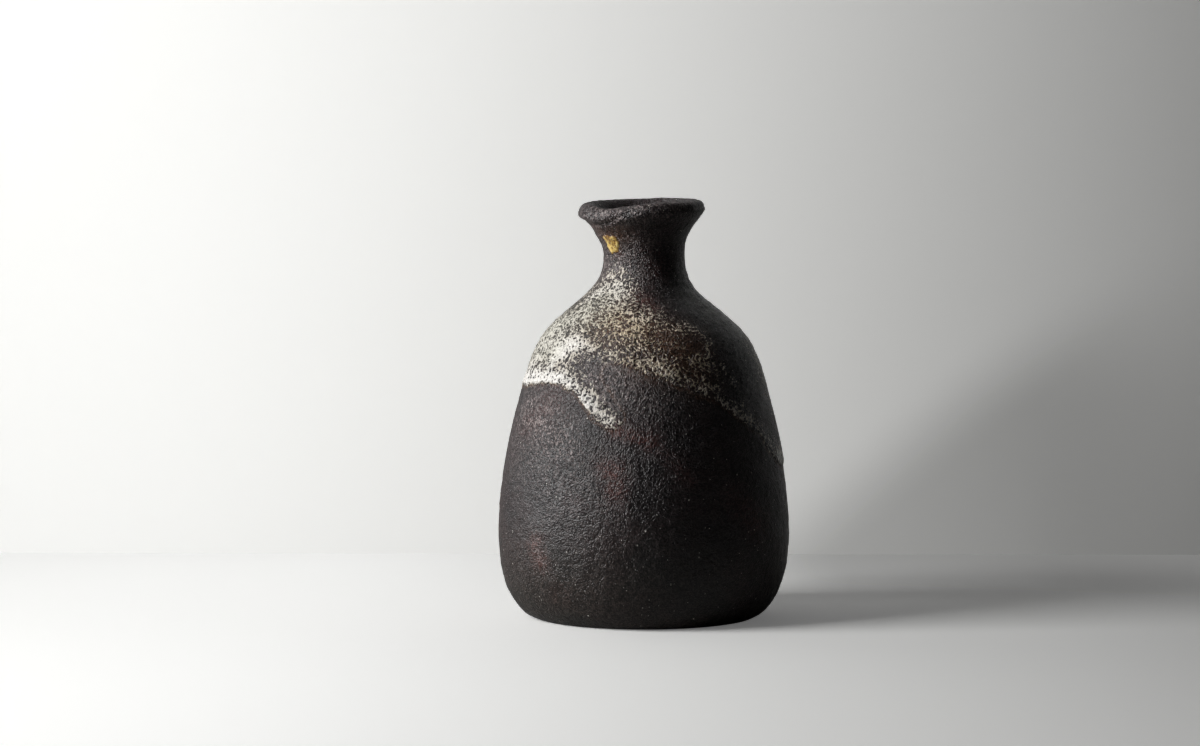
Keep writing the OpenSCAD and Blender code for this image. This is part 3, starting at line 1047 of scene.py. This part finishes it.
def feldspar_stone(look):
    """Half-fused feldspar: milky, with a grey cloud through it."""
    material, tree, shader = new_material("Feldspar")
    cloud = noise(tree, object_place(tree), 2.2, detail=3, rough=0.6, distortion=0, seed=12)
    cloud = spread(tree, cloud, 0.35, 0.65)
    colour = mix(tree, cloud, look.feldspar_dull, look.feldspar)
    connect(tree, shader, {"Base Color": colour, "Roughness": 0.38})
    return material


# ---------------------------------------------------------------------------------------------
# The add-on's properties


def colour_property(name, description, default):
    return bpy.props.FloatVectorProperty(
        name=name, description=description, default=default, subtype="COLOR", min=0, max=1
    )


def number_property(name, description, default, low, high, unit="NONE"):
    return bpy.props.FloatProperty(
        name=name, description=description, default=default, min=low, max=high, unit=unit
    )


def length_property(name, description, default, low, high):
    return number_property(name, description, default, low, high, "LENGTH")


def power_property(name, description, default):
    return number_property(name, description, default, 0, 1000, "POWER")


class BottleLook(bpy.types.PropertyGroup):
    """Colours and finishes of the fired clay and the glazes."""

    iron_black: colour_property("Iron black", "The clay at its darkest", (0.0140, 0.0112, 0.0122))
    iron_brown: colour_property("Iron brown", "The clay's warm clouds", (0.0325, 0.0202, 0.0206))
    iron_grey: colour_property("Iron grey", "The clay's fine mottle", (0.0385, 0.0308, 0.0316))
    rust: colour_property("Rust", "Clay flushed by the flame", (0.100, 0.031, 0.025))
    olive: colour_property("Olive", "Clay under a thin ash glass", (0.105, 0.100, 0.076))
    brown: colour_property("Brown", "Clay under a thick ash glass", (0.092, 0.044, 0.023))
    blue_grey: colour_property("Blue-grey", "Clay that is fused smooth", (0.062, 0.067, 0.070))
    # Fly ash on the grain tops; the same colour is also painted glints and sheen.
    dust: colour_property("Dust and glints", "Fly ash on the tops of the grains", (0.355, 0.296, 0.284))
    # The pin holes' colour is painted shade.
    pin_hole_shade: colour_property("Pin hole shade", "Colour inside the pin holes", (0.010, 0.009, 0.009))
    ash_white: colour_property("Ash white", "Thick ash", (0.84, 0.81, 0.765))
    ash_thin: colour_property("Ash thin", "Thin ash", (0.68, 0.62, 0.54))
    ash_straw: colour_property("Ash straw", "Ash where its glass is brown", (0.67, 0.53, 0.345))
    ash_green: colour_property("Ash green", "Ash where its glass is olive", (0.60, 0.58, 0.49))
    amber_gold: colour_property("Amber gold", "Body of the amber drop", (0.70, 0.44, 0.09))
    amber_dark: colour_property("Amber dark", "Dark swirls of the amber drop", (0.20, 0.09, 0.025))
    # Partly painted highlights.
    amber_pale_and_highlights: colour_property("Amber pale and highlights", "Pale swirls of the amber drop", (0.92, 0.74, 0.30))
    feldspar: colour_property("Feldspar", "Bright grit", (0.80, 0.76, 0.70))
    feldspar_dull: colour_property("Dull feldspar", "Grit dulled by ash", (0.20, 0.17, 0.15))
    clay_roughness: number_property("Clay roughness", "Roughness of the bare clay", 0.345, 0.2, 0.9)
    grain_depth: length_property("Grain depth", "Depth of the leathery grain", 0.00052, 0, 0.001)


class BottleGlaze(bpy.types.PropertyGroup):
    """Sizes of the glazes and of the grit."""

    crust: length_property("Crust", "Thickness of the ash crust", 0.00042, 0.0002, 0.001)
    drop_width: length_property("Drop width", "Width of the amber drop", 0.0068, 0.003, 0.008)
    drop_height: length_property("Drop height", "Height of the amber drop", 0.0074, 0.003, 0.008)
    grains: bpy.props.IntProperty(
        name="Grains", description="How many grains stand out of the clay",
        default=420, min=0, max=2000,
    )


class BottleStage(bpy.types.PropertyGroup):
    """The light and the surroundings."""

    window_power: power_property("Window", "Power of the window's light on the stage", 6.35)
    blind_power: power_property("Window on the bottle", "Power of its light on the bottle", 8.1)
    rim_power: power_property("Rim", "Power of the soft light behind on the right", 2.0)
    sky_power: power_property("Sky", "Power of the soft light high on the left", 2.4)
    fill: number_property("Fill", "How much of the far wall's glow falls on the bottle", 0.02, 0, 1)
    floor_gain: number_property(
        "Floor gain", "How much brighter the camera sees the floor", 3.45, 0.1, 12
    )
    floor_glow: number_property(
        "Floor glow", "How much the camera sees the floor's shadows lightened", 0.125, 0, 1
    )
    wall_gain: number_property(
        "Wall gain", "How much brighter the camera sees the paper wall", 3.90, 0.1, 12
    )
    wall_behind: length_property(
        "Wall behind", "Distance of the paper wall behind the bottle's axis", 0.176, 0.1, 1
    )
    bright: colour_property("Bright side", "The far wall on the window's side", (0.93, 0.93, 0.90))
    shade: colour_property("Shaded side", "The far wall on the other side", (0.30, 0.295, 0.28))
    paper: colour_property("Paper", "The pale floor and the paper wall", (0.40, 0.40, 0.392))


# ---------------------------------------------------------------------------------------------
# The add-on's operators


def named_collection(name):
    """The collection of what a light falls on: "Bottle" for its pieces, "Stage" for the rest."""
    return bpy.data.collections.get(name) or bpy.data.collections.new(name)


def finish_piece(piece, material, slot, *nodes):
    """Gives a piece its material, light and body, and hides the frame's parts that it stands for.
    The slot is not used.
    """
    piece.data.materials.append(material)
    named_collection("Bottle").objects.link(piece)
    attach(piece, "root")
    if nodes:
        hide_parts(*nodes)


class POTTERY_OT_throw_clay(bpy.types.Operator):
    """Builds the six members of the clay body, from the floor slab to the lip"""

    bl_idname = "pottery.throw_clay"
    bl_label = "Clay body"

    def execute(self, context):
        look = context.scene.bottle_look
        material = stoneware("Iron clay", look, ash_height=0.25)
        floor_cut, belly_cut = SECTION.seam(FLOOR_SEAM), SECTION.seam(BELLY_SEAM)
        shoulder_cut, throat_cut = SECTION.seam(SHOULDER_SEAM), SECTION.seam(THROAT_SEAM)
        lip_cut = [SECTION.crease, SECTION.lip_inner]
        # node, low seam, high seam, and the spacing of the rows outside and inside
        members = (
            ("floor_slab", None, floor_cut, 0.9, 1.6),
            ("belly_wall", floor_cut, belly_cut, 0.46, 1.6),
            ("shoulder_wall", belly_cut, shoulder_cut, 0.46, 1.6),
            ("neck_collar", shoulder_cut, throat_cut, 0.4, 1.0),
            ("mouth_flare", throat_cut, lip_cut, 0.36, 0.6),
            ("lip_bead", lip_cut, None, 0.26, 0.26),
        )
        for node, low, high, step, inner_step in members:
            piece = clay_member("thrown_" + node, low, high, step, inner_step)
            finish_piece(piece, material, "iron_clay", node)
        return {"FINISHED"}


class POTTERY_OT_melt_ash(bpy.types.Operator):
    """Builds the crust of natural ash glaze with its runs"""

    bl_idname = "pottery.melt_ash"
    bl_label = "Ash crust"

    def execute(self, context):
        look = context.scene.bottle_look
        crust = ash_crust("melted_ash_crust", context.scene.bottle_glaze.crust / MM)
        material = stoneware("Ash glaze", look, ash_height=0.8)
        finish_piece(crust, material, "ash_glaze", "ash_glaze")
        return {"FINISHED"}


class POTTERY_OT_drop_amber(bpy.types.Operator):
    """Builds the drop of amber glaze on the neck"""

    bl_idname = "pottery.drop_amber"
    bl_label = "Amber drop"

    def execute(self, context):
        glaze = context.scene.bottle_glaze
        half_width, half_height = glaze.drop_width / 2 / MM, glaze.drop_height / 2 / MM
        drop = amber_drop("glossy_amber_drop", AMBER_PLACE, half_width, half_height, AMBER_DEPTH)
        finish_piece(drop, amber_glass(context.scene.bottle_look), "amber_glaze", "amber_glaze")
        return {"FINISHED"}


class POTTERY_OT_scatter_grit(bpy.types.Operator):
    """Scatters the grains of feldspar that stand out of the clay"""

    bl_idname = "pottery.scatter_grit"
    bl_label = "Feldspar grains"

    def execute(self, context):
        count = context.scene.bottle_glaze.grains
        grains = feldspar_grains("feldspar_grains", count, smallest=0.11, largest=0.34)
        finish_piece(grains, feldspar_stone(context.scene.bottle_look), "iron_clay")
        return {"FINISHED"}


# The camera stands in front of the bottle, level with its mouth, and looks a little down and left.
CAMERA_AWAY, CAMERA_HEIGHT = 1.044, 0.135
CAMERA_DOWN, CAMERA_LEFT = 3.207, 0.761
CAMERA_LENS, CAMERA_SENSOR = 100, 36

# Soft lights: name, the setting with its power, place, width and height, and what it falls on.
# The stage and the bottle each have their own light from the window on the left.
SOFT_LIGHTS = (
    ("window_light", "window_power", (-0.71, -0.30, 0.33), (0.44, 0.64), "Stage"),
    ("blind_light", "blind_power", (-0.765, -0.12, 0.36), (0.40, 0.60), "Bottle"),
    ("rim_light", "rim_power", (0.36, 0.76, 0.40), (0.5, 0.5), "Bottle"),
    ("sky_light", "sky_power", (-0.55, -0.15, 0.63), (0.35, 0.35), "Bottle"),
)
BELLY_MIDDLE = (0, 0, 0.06)
# Grey light from all round: its strength and its colour.
AROUND_LIGHT, AROUND_GREY = 0.02, (0.5, 0.5, 0.5, 1)
# The paper wall's width and height.
PAPER_SIZE = 1.2, 0.6


def set_camera():
    """Makes the camera and looks through it."""
    lens = bpy.data.cameras.new("Camera")
    lens.lens, lens.sensor_width, lens.clip_start = CAMERA_LENS, CAMERA_SENSOR, 0.01
    camera = bpy.data.objects.new("Camera", lens)
    camera.location = (0, -CAMERA_AWAY, CAMERA_HEIGHT)
    camera.rotation_euler = (math.radians(90 - CAMERA_DOWN), 0, math.radians(CAMERA_LEFT))
    bpy.context.scene.collection.objects.link(camera)
    bpy.context.scene.camera = camera


def set_world():
    """Makes the faint grey light from all round."""
    world = bpy.data.worlds.new("World")
    world.use_nodes = True
    background = world.node_tree.nodes["Background"].inputs
    connect(world.node_tree, background, {"Color": AROUND_GREY, "Strength": AROUND_LIGHT})
    bpy.context.scene.world = world


def soft_light(name, power, place, size, falls_on):
    """A rectangular light that faces the bottle and isn't seen itself."""
    data = bpy.data.lights.new(name, "AREA")
    data.shape, data.energy = "RECTANGLE", power
    data.size, data.size_y = size
    light = bpy.data.objects.new(name, data)
    bpy.context.scene.collection.objects.link(light)
    light.location = place
    towards = Vector(BELLY_MIDDLE) - Vector(place)
    light.rotation_euler = towards.to_track_quat("-Z", "Y").to_euler()
    light.visible_camera = False
    light.light_linking.receiver_collection = named_collection(falls_on)


def bowl_mesh(name):
    """A floor that sweeps up into a round wall: a profile of a level line, a quarter circle and
    an upright, turned about the axis."""
    floor_r, sweep, top, around = 1.5, 0.5, 2.4, 96
    bend = np.linspace(0, np.pi / 2, 20)[1:]
    level = np.geomspace(0.02, floor_r, 24)
    profile_r = np.concatenate([level, floor_r + sweep * np.sin(bend), [floor_r + sweep]])
    profile_z = np.concatenate([0 * level, sweep * (1 - np.cos(bend)), [top]])
    turn = np.arange(around) * 2 * np.pi / around
    r, z = profile_r[:, None], profile_z[:, None] + 0 * turn
    grid = np.stack([r * np.sin(turn), -r * np.cos(turn), z], -1)
    vertices = np.concatenate([[[0, 0, 0]], grid.reshape(-1, 3)])
    index = 1 + np.arange(len(profile_r) * around).reshape(-1, around)
    ahead = np.roll(index, -1, axis=1)
    quads = np.stack([index[:-1], index[1:], ahead[1:], ahead[:-1]], -1).reshape(-1, 4)
    fan = np.stack([np.zeros(around, int), index[0], ahead[0]], -1)
    mesh = bpy.data.meshes.new(name)
    mesh.from_pydata(vertices.tolist(), [], quads[:, ::-1].tolist() + fan[:, ::-1].tolist())
    mesh.shade_smooth()
    return mesh


def paper_wall_mesh(name, size, behind):
    """A flat sheet of that width and height that stands behind the bottle and faces it."""
    right, top = size[0] / 2, size[1]
    corners = [(-right, 0), (right, 0), (right, top), (-right, top)]
    mesh = bpy.data.meshes.new(name)
    mesh.from_pydata([(x, behind, z) for x, z in corners], [], [(0, 1, 2, 3)])
    return mesh


def stage_piece(mesh, material):
    """Puts a part of the stage in the scene and in the window's light."""
    piece = link_object(mesh)
    piece.data.materials.append(material)
    named_collection("Stage").objects.link(piece)


def stage_material(name):
    """A new material with only an output, its tree, the place on the object, how it is seen, and
    where its shader goes."""
    material = bpy.data.materials.new(name)
    material.use_nodes = True
    tree = material.node_tree
    tree.nodes.clear()
    seen = add(tree, "ShaderNodeLightPath").outputs
    surface = tree.nodes.new("ShaderNodeOutputMaterial").inputs
    return material, tree, object_place(tree), seen, surface


def pale_paper(tree, seen, place, tint, gain, glow):
    """Matt paper whose brightness to the camera is a gain times what it gives the bottle. The
    gain falls off to both sides as a bell curve of the place across, but not below a least
    share. A soft slanting shade lies over the right of the wall and of the floor beside it, and
    a faint glow that only the camera sees, stronger on the left, lightens the shadows. Places
    across, behind and up are in metres."""
    across, depth, up = add(tree, "ShaderNodeSeparateXYZ", {0: place}).outputs
    middle, sharpness, least = -0.07, 2.4, 0.58
    off = product(tree, maths(tree, "SUBTRACT", across, middle), sharpness)
    fall = maths(tree, "EXPONENT", product(tree, off, off, -1.0))
    slant = maths(tree, "MULTIPLY_ADD", up, -1.264, across)
    shade = product(
        tree,
        spread(tree, slant, 0.018, 0.074),
        spread(tree, up, 0.05, 0.12, 1.0, 0.0),
        spread(tree, across, 0.14, 0.23, 0.34, 0.04),
        spread(tree, depth, 0.03, 0.11),
    )
    fall = product(tree, maths(tree, "MAXIMUM", fall, least), maths(tree, "SUBTRACT", 1.0, shade))
    by_camera = {0: seen["Is Camera Ray"], 2: 1.0, 3: product(tree, fall, gain)}
    level = add(tree, "ShaderNodeMix", by_camera).outputs[0]
    matt = add(tree, "ShaderNodeBsdfDiffuse", {"Color": scaled(tree, tint, level)}).outputs[0]
    left = spread(tree, across, 0.05, -0.12)
    behind = spread(tree, depth, -0.05, 0.17)
    share = maths(tree, "MULTIPLY_ADD", left, 0.55, 1.0)
    share = maths(tree, "MULTIPLY_ADD", product(tree, left, behind), 0.6, share)
    strength = product(tree, share, fall, glow, seen["Is Camera Ray"])
    soft = add(tree, "ShaderNodeEmission", {"Strength": strength}).outputs[0]
    return add(tree, "ShaderNodeAddShader", {0: matt, 1: soft}).outputs[0]


def floor_material(stage):
    """A pale matt floor round the bottle that passes into a softly glowing wall far away, bright
    on the window's side and dim on the other."""
    material, tree, place, seen, surface = stage_material("Floor")
    across = add(tree, "ShaderNodeSeparateXYZ", {0: place}).outputs[0]
    away = add(tree, "ShaderNodeVectorMath", {0: place}, operation="LENGTH").outputs["Value"]
    wall = mix(tree, spread(tree, across, -0.6, 0.6, smooth=False), stage.bright, stage.shade)
    strength = spread(tree, seen["Is Camera Ray"], 0.0, 1.0, stage.fill, 1.0, smooth=False)
    glow = add(tree, "ShaderNodeEmission", {"Color": wall, "Strength": strength}).outputs[0]
    matt = pale_paper(tree, seen, place, tuple(stage.paper), stage.floor_gain, stage.floor_glow)
    both = {0: spread(tree, away, 0.31, 0.46), 1: matt, 2: glow}
    connect(tree, surface, {"Surface": add(tree, "ShaderNodeMixShader", both).outputs[0]})
    return material


def wall_material(stage):
    """A paper wall that is there only for what faces it: it casts no shadow and is clear from
    behind, so it never stands between a view and the bottle."""
    material, tree, place, seen, surface = stage_material("Paper wall")
    behind = add(tree, "ShaderNodeNewGeometry").outputs["Backfacing"]
    clear = maths(tree, "MAXIMUM", behind, seen["Is Shadow Ray"])
    matt = pale_paper(tree, seen, place, tuple(stage.paper), stage.wall_gain, 0.0)
    through = add(tree, "ShaderNodeBsdfTransparent").outputs[0]
    both = add(tree, "ShaderNodeMixShader", {0: clear, 1: matt, 2: through}).outputs[0]
    connect(tree, surface, {"Surface": both})
    return material


class POTTERY_OT_set_stage(bpy.types.Operator):
    """Makes the camera, the soft lights, the pale floor and the paper wall"""

    bl_idname = "pottery.set_stage"
    bl_label = "Stage"

    def execute(self, context):
        stage = context.scene.bottle_stage
        set_camera()
        for name, power, place, size, falls_on in SOFT_LIGHTS:
            soft_light(name, getattr(stage, power), place, size, falls_on)
        stage_piece(bowl_mesh("stage_floor"), floor_material(stage))
        wall = paper_wall_mesh("stage_wall", PAPER_SIZE, stage.wall_behind)
        stage_piece(wall, wall_material(stage))
        set_world()
        context.scene.view_settings.view_transform = "Standard"
        return {"FINISHED"}


BUILDERS = (
    POTTERY_OT_set_stage, POTTERY_OT_throw_clay, POTTERY_OT_melt_ash, POTTERY_OT_drop_amber,
    POTTERY_OT_scatter_grit,
)
SETTINGS = (("bottle_look", BottleLook), ("bottle_glaze", BottleGlaze), ("bottle_stage", BottleStage))


class POTTERY_PT_bottle(bpy.types.Panel):
    """Lists the bottle's builders and their settings"""

    bl_label = "Sake bottle"
    bl_idname = "POTTERY_PT_bottle"
    bl_space_type = "VIEW_3D"
    bl_region_type = "UI"
    bl_category = "Pottery"

    def draw(self, context):
        for builder in BUILDERS:
            self.layout.operator(builder.bl_idname)
        for name, group in SETTINGS:
            box = self.layout.box()
            for setting in group.__annotations__:
                box.prop(getattr(context.scene, name), setting)


def register():
    for _, group in SETTINGS:
        bpy.utils.register_class(group)
    for cls in (*BUILDERS, POTTERY_PT_bottle):
        bpy.utils.register_class(cls)
    for name, group in SETTINGS:
        setattr(bpy.types.Scene, name, bpy.props.PointerProperty(type=group))


def unregister():
    for name, _ in SETTINGS:
        delattr(bpy.types.Scene, name)
    for cls in (POTTERY_PT_bottle, *BUILDERS):
        bpy.utils.unregister_class(cls)
    for _, group in SETTINGS:
        bpy.utils.unregister_class(group)


def main():
    register()
    bpy.ops.pottery.set_stage()
    bpy.ops.pottery.throw_clay()
    bpy.ops.pottery.melt_ash()
    bpy.ops.pottery.drop_amber()
    bpy.ops.pottery.scatter_grit()


if __name__ == "__main__":
    main()
